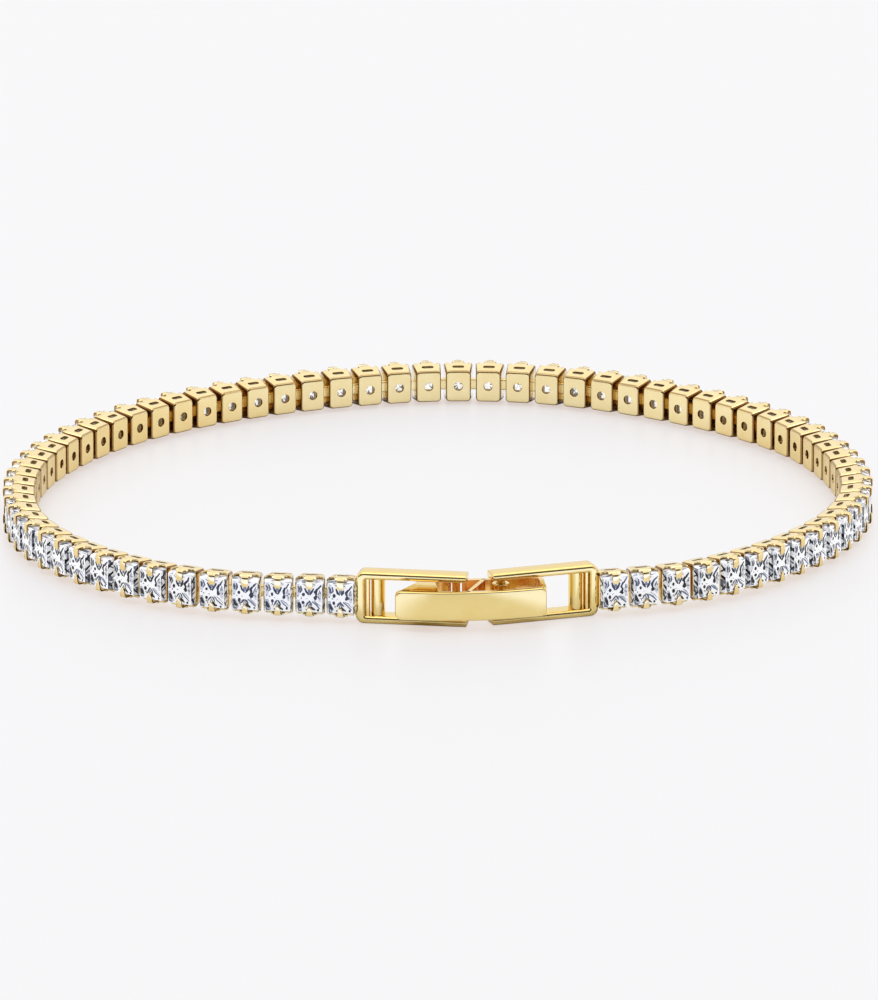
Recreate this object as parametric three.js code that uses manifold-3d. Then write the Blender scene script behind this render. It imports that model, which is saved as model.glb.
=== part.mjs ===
import * as THREE from 'three';
import { mergeVertices } from 'three/addons/utils/BufferGeometryUtils.js';
import { ConvexGeometry } from 'three/addons/geometries/ConvexGeometry.js';
import Module from 'manifold-3d';

// A tennis bracelet that stands on its edge as a closed loop, in millimetres, +Z up.
// The clasp is at the front, on the -Y side, and the stones face outwards.

// The loop, measured on the line through the joints of the links
const loopWidth = 58.5;
const loopDepth = 54.1;
const linkPitch = 2.22;

// The route of the joint line, anticlockwise from the right clasp frame to the left one,
// as shares of half the loop's width and depth
const route = [
  { across: 0.375, deep: -0.947 },
  { across: 0.589, deep: -0.868 },
  { across: 0.812, deep: -0.648 },
  { across: 0.959, deep: -0.363 },
  { across: 1, deep: -0.04 },
  { across: 0.88, deep: 0.431 },
  { across: 0.637, deep: 0.742 },
  { across: 0.313, deep: 0.953 },
  { across: 0.091, deep: 1 },
  { across: -0.135, deep: 0.972 },
  { across: -0.485, deep: 0.817 },
  { across: -0.772, deep: 0.552 },
  { across: -0.952, deep: 0.194 },
  { across: -1, deep: -0.129 },
  { across: -0.959, deep: -0.453 },
  { across: -0.805, deep: -0.733 },
  { across: -0.563, deep: -0.927 },
  { across: -0.188, deep: -0.998 },
];

// A link's box setting, which grows taller from the wrist side to the rim round the stone
const boxSpacing = 0.46;
const boxWidth = linkPitch - boxSpacing;
const boxBackHeight = 2.28;
const boxRimHeight = 2.78;
const boxBackReach = 0.76;
const boxRimReach = 0.86;
const boxCorner = 0.22;
const holeDiameter = 0.62;
const holeDepth = 0.5;

// The bar between two boxes
const barHeight = 0.8;
const barDepth = 0.42;
const barSeat = 0.12;

// The stone: a girdle with an upright side, then a crown up to the table
const sideRim = 0.02;
const endRim = 0.32;
const stoneWidth = boxWidth - 2 * sideRim;
const stoneHeight = boxRimHeight - 2 * endRim;
const stoneSeat = 0.36;
const girdleRise = 0.26;
const crownRise = 0.3;
const girdleReach = boxRimReach + girdleRise;
const tableReach = girdleReach + crownRise;
const tableShare = 0.66;
const tableCornerCut = 0.3;

// One prong above the stone and one below it
const prongWidth = 0.44;
const prongOverlap = 0.42;
const prongLip = 0.14;
const prongRoot = 0.04;
const prongSeat = 0.12;

// The clasp's two U-shaped frames
const frameHeight = 3.75;
const frameOpening = 1.6;
const frameDepth = 1.46;
const railThickness = 0.56;
const endWallThickness = 0.94;
const frameCorner = 0.6;
const uprightDiameter = 0.98;
const uprightGap = 0.1;
const pinDiameter = 0.56;
const pinInset = 0.8;
const leftFrameTurn = THREE.MathUtils.degToRad(-8);
const rightFrameTurn = THREE.MathUtils.degToRad(18.4);
const leftFrameOutset = 0.3;
const rightFrameOutset = -0.1;
const frameGap = 0.12;

// The lever that folds over the two frames, inside their rails
const leverLength = 10.6;
const railClearance = 0.28;
const leverHeight = frameHeight - 2 * (railThickness + railClearance);
const leverTail = 3.07;
const leverBow = 0.72;
const leverFrontReach = 2.35;
const leverBackReach = 1.15;
const leverPlate = 0.5;
const leverBackPlate = 0.34;
const leverCorner = 0.42;
const noseSolid = 3;
const noseTaper = 1.85;
const webThickness = 0.33;
const webLean = 1.4;
const webReach = 1.1;
const barrelWall = 0.28;
const pinClearance = 0.06;
const slotClearance = 0.12;

// The back of the nose, from the back plate towards its tip, as shares of noseTaper and leverBackReach
const noseProfile = [
  { along: 1, behind: 1 },
  { along: 0.85, behind: 0.4 },
  { along: 0.6, behind: -0.2 },
];

// Where the two rows of links meet at the back
const rowGap = 0.06;

const holeSides = 10;
const rodSides = 14;
const barrelSides = 16;
const arcSteps = 8;
const cornerSteps = 4;

const wasm = await Module();
wasm.setup();

// Closed geometry to a solid, with only its positions kept and its shared vertices merged
function solidOf(geometry) {
  const bare = geometry.clone();
  bare.deleteAttribute('normal');
  bare.deleteAttribute('uv');
  const merged = mergeVertices(bare, 1e-5);
  const mesh = new wasm.Mesh({
    numProp: 3,
    vertProperties: new Float32Array(merged.attributes.position.array),
    triVerts: new Uint32Array(merged.index.array),
  });
  return new wasm.Manifold(mesh);
}

// A solid back to geometry
function geometryOf(solid) {
  const mesh = solid.getMesh();
  const geometry = new THREE.BufferGeometry();
  geometry.setAttribute('position', new THREE.BufferAttribute(mesh.vertProperties, 3));
  geometry.setIndex(new THREE.BufferAttribute(mesh.triVerts, 1));
  geometry.computeVertexNormals();
  return geometry;
}

// Joins a list of solids two by two
function join(solids) {
  let level = solids;
  while (level.length > 1) {
    const next = [];
    for (let i = 0; i < level.length; i += 2) {
      next.push(i + 1 < level.length ? level[i].add(level[i + 1]) : level[i]);
    }
    level = next;
  }
  return level[0];
}

// A rectangle about the origin with rounded corners
function roundedRectangle(width, height, corner) {
  const w = width / 2;
  const h = height / 2;
  const shape = new THREE.Shape();
  shape.absarc(w - corner, h - corner, corner, 0, Math.PI / 2);
  shape.absarc(corner - w, h - corner, corner, Math.PI / 2, Math.PI);
  shape.absarc(corner - w, corner - h, corner, Math.PI, 1.5 * Math.PI);
  shape.absarc(w - corner, corner - h, corner, 1.5 * Math.PI, 2 * Math.PI);
  return shape;
}

// A rectangle about the origin with its corners cut off straight
function cutRectangle(width, height, cut) {
  const w = width / 2;
  const h = height / 2;
  const shape = new THREE.Shape();
  shape.moveTo(w, cut - h);
  shape.lineTo(w, h - cut);
  shape.lineTo(w - cut, h);
  shape.lineTo(cut - w, h);
  shape.lineTo(-w, h - cut);
  shape.lineTo(-w, cut - h);
  shape.lineTo(cut - w, -h);
  shape.lineTo(w - cut, -h);
  return shape;
}

function extrude(shape, depth, curveSegments) {
  return new THREE.ExtrudeGeometry(shape, { depth, bevelEnabled: false, curveSegments });
}

// A shape drawn as seen from the front, X to the right and Z up, which runs from y = start to y = end
function frontPrism(shape, start, end, curveSegments) {
  const geometry = extrude(shape, end - start, curveSegments);
  geometry.rotateX(Math.PI / 2);
  geometry.translate(0, end, 0);
  return geometry;
}

function box(width, depth, height, x, y, z) {
  const geometry = new THREE.BoxGeometry(width, depth, height);
  geometry.translate(x, y, z);
  return geometry;
}

// An upright rod with its middle at x, y and z
function rod(diameter, height, x, y, z, sides) {
  const geometry = new THREE.CylinderGeometry(diameter / 2, diameter / 2, height, sides);
  geometry.rotateX(Math.PI / 2);
  geometry.translate(x, y, z);
  return geometry;
}

// Link coordinates: x along the chain, y towards the wrist, z up, with the origin in the joint line
function settingBox() {
  const outline = cutRectangle(boxWidth, boxRimHeight, boxCorner);
  const geometry = frontPrism(outline, -boxRimReach, boxBackReach, 1);
  const position = geometry.attributes.position;
  for (let i = 0; i < position.count; i += 1) {
    if (position.getY(i) > 0) {
      const top = Math.sign(position.getZ(i)) * (boxRimHeight - boxBackHeight) / 2;
      position.setZ(i, position.getZ(i) - top);
    }
  }
  return solidOf(geometry);
}

function wristHole() {
  const geometry = new THREE.CylinderGeometry(holeDiameter / 2, holeDiameter / 2, 2 * holeDepth, holeSides);
  geometry.translate(0, boxBackReach, 0);
  return solidOf(geometry);
}

// The cut stone: a square girdle, a table with cut corners, and eight crown facets between them
function stone() {
  const w = stoneWidth / 2;
  const h = stoneHeight / 2;
  const points = [];
  for (const side of [-1, 1]) {
    for (const end of [-1, 1]) {
      points.push(new THREE.Vector3(side * w, stoneSeat - boxRimReach, end * h));
      points.push(new THREE.Vector3(side * w, -girdleReach, end * h));
      const x = side * w * tableShare;
      const z = end * h * tableShare;
      points.push(new THREE.Vector3(x * (1 - tableCornerCut), -tableReach, z));
      points.push(new THREE.Vector3(x, -tableReach, z * (1 - tableCornerCut)));
    }
  }
  return solidOf(new ConvexGeometry(points));
}

// A prong rises from the rim and bends over the edge of the stone
function prong(side) {
  const top = boxRimHeight / 2 - prongRoot;
  const tip = top - prongOverlap;
  const profile = new THREE.Shape();
  profile.moveTo(prongSeat - boxRimReach, top);
  profile.lineTo(-girdleReach, top - prongLip / 2);
  profile.lineTo(-tableReach - prongLip, tip);
  profile.lineTo(-tableReach - prongLip / 2, tip - prongLip);
  profile.lineTo(prongSeat - boxRimReach, tip - prongLip);
  const geometry = extrude(profile, prongWidth, 1);
  geometry.translate(0, 0, -prongWidth / 2);
  geometry.rotateY(Math.PI / 2);
  geometry.rotateX(Math.PI / 2);
  if (side < 0) {
    geometry.rotateY(Math.PI);
  }
  return solidOf(geometry);
}

const linkSolid = join([settingBox().subtract(wristHole()), stone(), prong(1), prong(-1)]);

// Every link and every joint of the chain along the route
const halfWidth = loopWidth / 2;
const halfDepth = loopDepth / 2;
const routeCurve = new THREE.CatmullRomCurve3(
  route.map((point) => new THREE.Vector3(point.across * halfWidth, point.deep * halfDepth, 0)),
);
routeCurve.arcLengthDivisions = 2000;
const linkCount = Math.round(routeCurve.getLength() / linkPitch);
const joints = routeCurve.getSpacedPoints(linkCount);

// The links stand on the floor at the back and rise evenly to the middle of the taller clasp
function liftAt(y) {
  const rise = (frameHeight - boxRimHeight) / 2;
  return boxRimHeight / 2 + rise * (halfDepth - y) / loopDepth;
}

function placement(x, y, z, turn) {
  const matrix = new THREE.Matrix4().makeRotationZ(turn);
  return matrix.setPosition(x, y, z);
}

const links = [];
for (let i = 0; i < linkCount; i += 1) {
  const step = joints[i + 1].clone().sub(joints[i]);
  const middle = joints[i].clone().add(joints[i + 1]).multiplyScalar(0.5);
  links.push({ x: middle.x, y: middle.y, z: liftAt(middle.y), turn: Math.atan2(step.y, step.x) });
}

// A point beside a link: along the chain and towards the wrist
function beside(link, along, inwards) {
  const x = link.x + along * Math.cos(link.turn) - inwards * Math.sin(link.turn);
  const y = link.y + along * Math.sin(link.turn) + inwards * Math.cos(link.turn);
  return { x, y };
}

function bar(fromX, fromY, toX, toY) {
  const length = Math.hypot(toX - fromX, toY - fromY);
  const x = (fromX + toX) / 2;
  const y = (fromY + toY) / 2;
  const geometry = box(length, barDepth, barHeight, 0, 0, 0);
  geometry.applyMatrix4(placement(x, y, liftAt(y), Math.atan2(toY - fromY, toX - fromX)));
  return solidOf(geometry);
}

// A row of links, with the bars between them; startReach and endReach run out of the row's two ends
function linkRow(first, last, startReach, endReach) {
  const side = boxWidth / 2;
  const solids = [];
  for (let i = first; i <= last; i += 1) {
    const link = links[i];
    solids.push(linkSolid.transform(placement(link.x, link.y, link.z, link.turn).elements));
    const from = beside(link, side - barSeat, 0);
    if (i < last) {
      const to = beside(links[i + 1], barSeat - side, 0);
      solids.push(bar(from.x, from.y, to.x, to.y));
    } else if (endReach > 0) {
      const to = beside(link, side + endReach, 0);
      solids.push(bar(from.x, from.y, to.x, to.y));
    }
  }
  if (startReach > 0) {
    const from = beside(links[first], -side - startReach, 0);
    const to = beside(links[first], barSeat - side, 0);
    solids.push(bar(from.x, from.y, to.x, to.y));
  }
  return geometryOf(join(solids));
}

// Frame coordinates: x from the end wall to the open end, y across the strip, z up from the floor
const claspMiddle = frameHeight / 2;

function frameSolid(frameLength) {
  const outline = new THREE.Shape();
  const inner = frameHeight - railThickness;
  outline.moveTo(frameLength, 0);
  outline.lineTo(frameLength, railThickness);
  outline.lineTo(endWallThickness, railThickness);
  outline.lineTo(endWallThickness, inner);
  outline.lineTo(frameLength, inner);
  outline.lineTo(frameLength, frameHeight);
  outline.lineTo(frameCorner, frameHeight);
  outline.absarc(frameCorner, frameHeight - frameCorner, frameCorner, Math.PI / 2, Math.PI);
  outline.absarc(frameCorner, frameCorner, frameCorner, Math.PI, 1.5 * Math.PI);
  const strip = solidOf(frontPrism(outline, -frameDepth / 2, frameDepth / 2, cornerSteps));
  const span = frameHeight - railThickness;
  const uprightX = endWallThickness + uprightGap + uprightDiameter / 2;
  const upright = solidOf(rod(uprightDiameter, span, uprightX, 0, claspMiddle, rodSides));
  const pin = solidOf(rod(pinDiameter, span, frameLength - pinInset, 0, claspMiddle, rodSides));
  return join([strip, upright, pin]);
}

// The left frame opens to the right, and the right frame is turned round to open to the left
const lastLink = links[linkCount - 1];
const firstLink = links[0];
const endReach = boxWidth / 2 + frameGap;
const leftEnd = beside(lastLink, endReach, -leftFrameOutset);
const rightEnd = beside(firstLink, -endReach, -rightFrameOutset);

// Each frame is as long as leaves the opening between the two, measured straight from end to end
const endsApart = Math.hypot(rightEnd.x - leftEnd.x, rightEnd.y - leftEnd.y);
const endsTurn = Math.atan2(rightEnd.y - leftEnd.y, rightEnd.x - leftEnd.x);
const lengthShare = Math.cos(leftFrameTurn - endsTurn) + Math.cos(rightFrameTurn - endsTurn);
const frameLength = (endsApart - frameOpening) / lengthShare;
const frame = frameSolid(frameLength);
const leftPlace = placement(leftEnd.x, leftEnd.y, 0, leftFrameTurn);
const rightPlace = placement(rightEnd.x, rightEnd.y, 0, rightFrameTurn + Math.PI);

const pinReach = new THREE.Vector3(frameLength - pinInset, 0, 0);
const catchPin = pinReach.clone().applyMatrix4(leftPlace);
const hingePin = pinReach.clone().applyMatrix4(rightPlace);

// Lever coordinates: the origin in the hinge pin, x towards the tail, y towards the wrist, z up
const leverTurn = (leftFrameTurn + rightFrameTurn) / 2;
const leverPlace = placement(hingePin.x, hingePin.y, 0, leverTurn);
const catchInLever = catchPin.clone().applyMatrix4(leverPlace.clone().invert());

// The front plate's outer face bows outwards by leverBow between the nose and the tail
const noseX = leverTail - leverLength;
const midX = leverTail - leverLength / 2;
const bowRadius = (leverLength ** 2 / 4 + leverBow ** 2) / (2 * leverBow);
const bowCentreY = bowRadius - leverFrontReach;
const bowHalfAngle = Math.asin(leverLength / 2 / bowRadius);

function frontArc(shape, radius, halfAngle, backwards) {
  const from = -Math.PI / 2 - halfAngle;
  const to = -Math.PI / 2 + halfAngle;
  if (backwards) {
    shape.absarc(midX, bowCentreY, radius, to, from, true);
  } else {
    shape.absarc(midX, bowCentreY, radius, from, to, false);
  }
}

// A solid of the lever's height over a shape drawn in plan
function leverPrism(shape) {
  const geometry = extrude(shape, leverHeight, arcSteps);
  geometry.translate(0, 0, claspMiddle - leverHeight / 2);
  return solidOf(geometry);
}

function leverOutline() {
  const shape = new THREE.Shape();
  frontArc(shape, bowRadius, bowHalfAngle, false);
  const round = leverBackReach / 2;
  shape.lineTo(leverTail, leverBackReach - round);
  shape.absarc(leverTail - round, leverBackReach - round, round, 0, Math.PI / 2);
  for (const point of noseProfile) {
    shape.lineTo(noseX + noseTaper * point.along, leverBackReach * point.behind);
  }
  shape.lineTo(noseX, leverBow + leverPlate / 2 - leverFrontReach);
  return shape;
}

// The hollow between the front plate, the back plate, the solid nose and the tail's end wall
function leverHollow() {
  const inner = bowRadius - leverPlate;
  const shape = new THREE.Shape();
  const left = noseX + noseSolid;
  const right = leverTail - leverBackPlate;
  const back = leverBackReach - leverBackPlate;
  const leftAngle = Math.asin((left - midX) / inner);
  const rightAngle = Math.asin((right - midX) / inner);
  shape.absarc(midX, bowCentreY, inner, leftAngle - Math.PI / 2, rightAngle - Math.PI / 2, false);
  const round = leverBackReach / 2 - leverBackPlate;
  shape.lineTo(right, back - round);
  shape.absarc(right - round, back - round, round, 0, Math.PI / 2);
  shape.lineTo(left, back);
  return shape;
}

// The web leans from the front plate back to the back plate and parts the hollow in two
function leverWeb() {
  const frontY = leverPlate / 2 - leverFrontReach;
  const backY = leverBackReach - leverBackPlate / 2;
  const half = webThickness / 2;
  const shape = new THREE.Shape();
  shape.moveTo(-webReach - webLean - half, frontY);
  shape.lineTo(-webReach - webLean + half, frontY);
  shape.lineTo(-webReach + half, backY);
  shape.lineTo(-webReach - half, backY);
  return shape;
}

// The slot in the back plate through which the catch pin leaves as the lever opens
function catchSlot() {
  const reach = Math.hypot(catchInLever.x, catchInLever.y);
  const room = pinDiameter / 2 + slotClearance;
  const far = leverBackReach + room;
  const start = -Math.sqrt(reach ** 2 - far ** 2);
  const shape = new THREE.Shape();
  shape.moveTo(-reach - room, catchInLever.y);
  shape.lineTo(start + room, catchInLever.y);
  shape.lineTo(start + room, far);
  shape.lineTo(-reach - room, far);
  return shape;
}

function leverSolid() {
  const barrelDiameter = pinDiameter + 2 * (pinClearance + barrelWall);
  const boreDiameter = pinDiameter + 2 * pinClearance;
  const barrel = solidOf(rod(barrelDiameter, leverHeight, 0, 0, claspMiddle, barrelSides));
  const bore = solidOf(rod(boreDiameter, frameHeight, 0, 0, claspMiddle, barrelSides));
  const neck = solidOf(
    box(barrelDiameter / 2, leverBackReach, leverHeight, 0, leverBackReach / 2, claspMiddle),
  );
  const web = leverPrism(leverWeb());
  const slot = leverPrism(catchSlot()).subtract(web);
  const shell = leverPrism(leverOutline()).subtract(leverPrism(leverHollow())).subtract(slot);
  const body = join([shell, web, barrel, neck]).subtract(bore);
  const face = roundedRectangle(leverLength, leverHeight, leverCorner);
  const faceBounds = frontPrism(face, -leverFrontReach - leverBow, leverBackReach + leverBow, cornerSteps);
  faceBounds.translate(midX, 0, claspMiddle);
  return body.intersect(solidOf(faceBounds));
}

const gold = { color: 0xe3c878, roughness: 0.14, metalness: 1 };
const goldWithStones = { color: 0xe6dcb4, roughness: 0.12, metalness: 0.8 };

function piece(name, geometry, finish) {
  const mesh = new THREE.Mesh(geometry, new THREE.MeshStandardMaterial(finish));
  mesh.name = name;
  return mesh;
}

const bracelet = new THREE.Group();
const halfway = Math.floor(linkCount / 2);
const halfRowGap = (Math.hypot(
  links[halfway].x - links[halfway - 1].x,
  links[halfway].y - links[halfway - 1].y,
) - boxWidth - rowGap) / 2;
const toFrame = frameGap - rowGap;
bracelet.add(piece('link_row_right', linkRow(0, halfway - 1, toFrame, halfRowGap), goldWithStones));
bracelet.add(piece('link_row_left', linkRow(halfway, linkCount - 1, halfRowGap, toFrame), goldWithStones));

const leftFrame = piece('clasp_frame_left', geometryOf(frame), gold);
leftFrame.position.set(leftEnd.x, leftEnd.y, 0);
leftFrame.rotation.z = leftFrameTurn;
bracelet.add(leftFrame);

const rightFrame = piece('clasp_frame_right', geometryOf(frame), gold);
rightFrame.position.set(rightEnd.x, rightEnd.y, 0);
rightFrame.rotation.z = rightFrameTurn + Math.PI;
bracelet.add(rightFrame);

const lever = piece('clasp_lever', geometryOf(leverSolid()), gold);
lever.position.set(hingePin.x, hingePin.y, 0);
lever.rotation.z = leverTurn;
bracelet.add(lever);

// The origin is on the floor, below the middle of the whole bracelet
bracelet.updateMatrixWorld(true);
const bounds = new THREE.Box3().setFromObject(bracelet, true);
const centre = bounds.getCenter(new THREE.Vector3());
bracelet.position.set(-centre.x, -centre.y, -bounds.min.z);

export default bracelet;
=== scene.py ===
import math
import bmesh
import bpy
import numpy as np
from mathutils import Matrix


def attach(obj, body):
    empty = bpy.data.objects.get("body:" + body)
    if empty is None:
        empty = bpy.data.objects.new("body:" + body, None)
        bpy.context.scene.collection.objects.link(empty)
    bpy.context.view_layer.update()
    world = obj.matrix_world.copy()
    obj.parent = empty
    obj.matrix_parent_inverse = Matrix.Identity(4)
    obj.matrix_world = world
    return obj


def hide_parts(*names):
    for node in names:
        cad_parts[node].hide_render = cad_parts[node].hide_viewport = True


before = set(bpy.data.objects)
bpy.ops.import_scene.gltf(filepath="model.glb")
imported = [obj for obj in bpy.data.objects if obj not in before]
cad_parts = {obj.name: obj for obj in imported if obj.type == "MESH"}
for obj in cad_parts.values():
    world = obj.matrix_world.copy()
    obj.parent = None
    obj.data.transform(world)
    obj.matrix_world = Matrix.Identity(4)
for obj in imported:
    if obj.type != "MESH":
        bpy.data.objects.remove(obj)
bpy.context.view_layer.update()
mm = 0.001
rng = np.random.default_rng(11)
print("frame loaded:", sorted(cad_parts))

# A long lens a metre and a half away, a little above the bracelet
view = {
    "distance": 1553.8 * mm,
    "elevation": 16.57,            # degrees above the floor
    "aim": (0.07 * mm, 2.30 * mm, 0.23 * mm),
    "frameWidth": 62.37 * mm,      # how much of the scene fits across the picture at the aim
    "sensor": 36.0,                # in the camera's own unit
}

# The loop that the links follow, as in the solids
loop = {
    "width": 58.5 * mm,
    "depth": 54.1 * mm,
    "pitch": 2.22 * mm,
    "shift": (-0.0184 * mm, 0.862 * mm),   # from the loop's own middle to the frame's origin
    "rise": 0.485 * mm,                    # how much higher the links stand at the clasp
}
# The points that it passes through, as shares of its half width and half depth
route = np.array([  # across, deep
    (0.375, -0.947), (0.589, -0.868), (0.812, -0.648), (0.959, -0.363), (1.0, -0.04), (0.88, 0.431),
    (0.637, 0.742), (0.313, 0.953), (0.091, 1.0), (-0.135, 0.972), (-0.485, 0.817), (-0.772, 0.552),
    (-0.952, 0.194), (-1.0, -0.129), (-0.959, -0.453), (-0.805, -0.733), (-0.563, -0.927), (-0.188, -0.998),
])

# A link's setting; x runs along the chain, y towards the wrist, z up
setting = {
    "width": 1.76 * mm,
    "backHeight": 2.28 * mm,
    "rimHeight": 2.78 * mm,
    "back": 0.76 * mm,
    "flareEnd": 0.86 * mm,
    "sideFlare": 0.17 * mm,       # how much further out a side wall is at the rim than at the back
    "corner": 0.27 * mm,
    "innerCorner": 0.05 * mm,     # the least that a corner shrinks to inside
    "edge": 0.13 * mm,
    "edgeStrip": 0.04 * mm,       # narrow faces beside each rounded edge keep the flats flat
    "lip": 0.045 * mm,            # the rim's rounding
    "sideWall": 0.10 * mm,
    "endWall": 0.13 * mm,
    "floorThickness": 0.26 * mm,
    "hole": 0.62 * mm,
    "holeEdge": (0.02 * mm, 0.03 * mm),      # width and depth of its broken edge
    "slotLong": 0.86 * mm,
    "slotDeep": 0.40 * mm,
    "slotCorner": 0.16 * mm,
    "slotCut": (0.8 * mm, 1.8 * mm),         # heights between which the wall is cut away
    "tongue": 0.96 * mm,                     # reach of the rim where the prong stands
    "tongueEdge": (0.256 * mm, 0.14 * mm),   # where it starts to fall off, and over how much
    "scallop": 0.58 * mm,                    # reach of the rim between prong and corner
    "lowScallop": 0.80 * mm,                 # the same below the stone
    "clawEdge": (0.544 * mm, 0.12 * mm),     # where the rim rises again, and over how much
    "cornerReach": 0.86 * mm,
    "sideReach": 0.93 * mm,
    "sideEdge": (0.86, 0.14),                # the same at the two sides, in shares of them
}
prong = {
    "width": 0.50 * mm,
    "thickness": 0.18 * mm,
    "tuck": 0.04 * mm,            # how far the upper prong's tip turns back to the stone
    "crossbar": 0.92 * mm,
    "barEnd": 0.05 * mm,
    "barHigh": 0.17 * mm,
    "barDeep": 0.24 * mm,
    "barAt": 1.02 * mm,
}
# A prong's stations from root to tip: reach from the link's middle and depth below the setting's top,
# both in mm, then the upper prong's width, the lower prong's width and the thickness as shares
prongStations = np.array([  # reach, below, upper, lower, thick
    (0.62, 0.13, 1.30, 1.30, 1.00),
    (0.87, 0.10, 1.10, 1.20, 1.00),
    (1.38, 0.11, 1.00, 1.20, 1.00),
    (1.45, 0.14, 1.00, 1.10, 1.00),
    (1.47, 0.21, 1.00, 0.85, 1.00),
    (1.47, 0.60, 0.95, 0.60, 0.85),
    (1.47, 0.76, 0.75, 0.40, 0.50),
])
# How much painted shade the gold of a link shows in each place where shade falls: in hollows, in gaps and
# along edges
paintedShadeShare = {
    "hole": 0.8, "slot": 0.3, "box": 0.35, "side": 0.2, "deepSide": 0.35, "corner": 0.92,
    "edge": 0.65, "underEdge": 0.9, "prongEdge": 0.85, "underBar": 0.9,
}
bar = {
    "height": 0.8 * mm,
    "depth": 0.42 * mm,
    "corner": 0.09 * mm,
    "seat": 0.12 * mm,
    "clear": 0.06 * mm,
}
stone = {
    "width": 1.91 * mm,
    "height": 2.24 * mm,
    "girdleBack": 0.62 * mm,
    "girdleFront": 0.92 * mm,
    "table": 1.40 * mm,
    "tableShare": 0.94,
    "crownStep": 0.62,       # where the crown's two steps meet, as a share of its rise
    "culet": 0.30 * mm,
    "hair": 0.012 * mm,      # how far charted flashes stand off a side, and a quarter of it off the table
    "stack": 0.00006 * mm,   # how much further each flash stands off than the last
    "strokeDrift": 0.025,    # how much one stone's flashes differ from the chart
    "dotDrift": 0.03,
    "glow": 0.28,            # painted glow: the emission of the brightest facets
    "glowFrom": 0.6,         # the tone from which a facet glows
}

# The clasp's two U-shaped frames; x runs from the end wall to the open end
clasp = {
    "height": 3.75 * mm,
    "opening": 1.6 * mm,
    "depth": 1.46 * mm,
    "rail": 0.56 * mm,
    "endWall": 0.68 * mm,
    "bend": 0.4 * mm,             # the straight rail ends this far from the bend's inner arc
    "strip": (0.75 * mm, 0.98 * mm),
    "stripInset": 0.12 * mm,
    "stripCorner": 0.07 * mm,
    "corner": 0.6 * mm,
    "innerCorner": 0.08 * mm,
    "edge": 0.23 * mm,
    "endEdge": 0.10 * mm,
    "upright": (1.04 * mm, 2.02 * mm),
    "pin": 0.56 * mm,
    "pinInset": 0.8 * mm,
    "gap": 0.12 * mm,
    "leftTurn": math.radians(-8),
    "rightTurn": math.radians(18.4),
    "leftOutset": 0.3 * mm,
    "rightOutset": -0.1 * mm,
}

# The lever; its origin is in the hinge pin, x towards the tail and y towards the wrist
lever = {
    "length": 10.6 * mm,
    "height": 2.07 * mm,
    "tail": 3.07 * mm,
    "bow": 0.72 * mm,
    "front": 2.345 * mm,
    "back": 1.15 * mm,
    "plate": 0.5 * mm,
    "backPlate": 0.34 * mm,
    "corner": 0.42 * mm,
    "edge": 0.10 * mm,
    "crown": 0.05 * mm,
    "noseSolid": 3.0 * mm,
    "noseTaper": 1.85 * mm,
    "noseStart": 0.3 * mm,
    "web": 0.33 * mm,
    "webLean": 1.4 * mm,
    "webReach": 1.1 * mm,
    "barrelWall": 0.28 * mm,
    "barrelInset": 0.02 * mm,
    "barrelLip": 0.04 * mm,
    "neckFrom": 0.45 * mm,
    "pinClearance": 0.06 * mm,
    "catch": (-3.38 * mm, -2.54 * mm),   # the gap in the back through which the catch pin comes and goes
    "catchLip": 0.45 * mm,               # how far its two lips reach in
    "lipTop": 0.06 * mm,
    "lipFoot": 0.2 * mm,
    "softEdge": 0.06 * mm,
}

# The room: grey levels over the height of a direction, 0 at the horizon and 1 overhead
studio = {
    "front": [(0.0, 0.35), (0.06, 0.05), (0.55, 0.04), (0.72, 0.4), (0.85, 0.75), (1.0, 0.8)],
    "back": [(0.0, 0.5), (0.3, 0.54), (0.5, 0.6), (0.62, 0.58), (0.8, 0.6), (1.0, 0.7)],
    "between": (-0.6, -0.3),      # where front gives way to back, in the direction's depth
    "strength": 1.9,
    "lamps": [  # name, place, side and power
        ("key", (-0.3, -0.2, 0.95), 0.5, 1.0),
        ("fill", (0.35, 0.1, 0.9), 0.4, 0.6),
    ],
}
# The paper: what the camera sees it throw back, the painted glow that only the camera sees, and how bright
# it is for mirrors, with painted highlights beside the clasp, and for all else
sheet = {
    "half": 3.0,                            # half its width, in metres
    "seen": (0.17, 0.25, 0.30, 1),
    "through": (0.675, 0.585, 0.545, 1),
    "bounce": (0.9, 0.9, 0.9, 1),
    "mirrored": (0.91, 0.95, 1.06, 1),
    "mirroredAside": (0.84, 0.80, 0.74, 1),
    "mirrorHighlight": (1.2, 1.4, 2.3, 1),
    "middle": 3.2 * mm,                     # the clasp's middle, across
    "aside": (8.0 * mm, 20.0 * mm),         # how far from it the painted brightness of the mirrored paper dims
    "mirrorHighlightAside": (4.5 * mm, 9.5 * mm),     # and the painted highlights begin, which only mirrors see
    "mirrorHighlightAhead": (-29.5 * mm, -32.0 * mm),
}


def linear(hexColour):
    # sRGB hex to linear red, green, blue and alpha
    value = np.array([int(hexColour[i:i + 2], 16) for i in (1, 3, 5)]) / 255
    low = value / 12.92
    high = ((value + 0.055) / 1.055) ** 2.4
    return (*np.where(value <= 0.04045, low, high), 1.0)


def addNode(tree, kind, links=None, **settings):
    # adds a node; a setting whose name is a socket goes to the socket, any other to the node itself
    node = tree.nodes.new(kind)
    for name, value in settings.items():
        socket = name.replace("_", " ")
        if hasattr(node, name):
            setattr(node, name, value)
        else:
            node.inputs[socket].default_value = value
    for socket, source in (links or {}).items():
        tree.links.new(source, node.inputs[socket])
    return node


def mixedColour(tree, factor, first, second):
    # The first colour where the factor is 0, the second where it is 1; each may be a node's output
    node = addNode(tree, "ShaderNodeMix", {"Factor": factor}, data_type="RGBA")
    for socket, colour in ((6, first), (7, second)):
        if isinstance(colour, tuple):
            node.inputs[socket].default_value = colour
        else:
            tree.links.new(colour, node.inputs[socket])
    return node.outputs[2]


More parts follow.
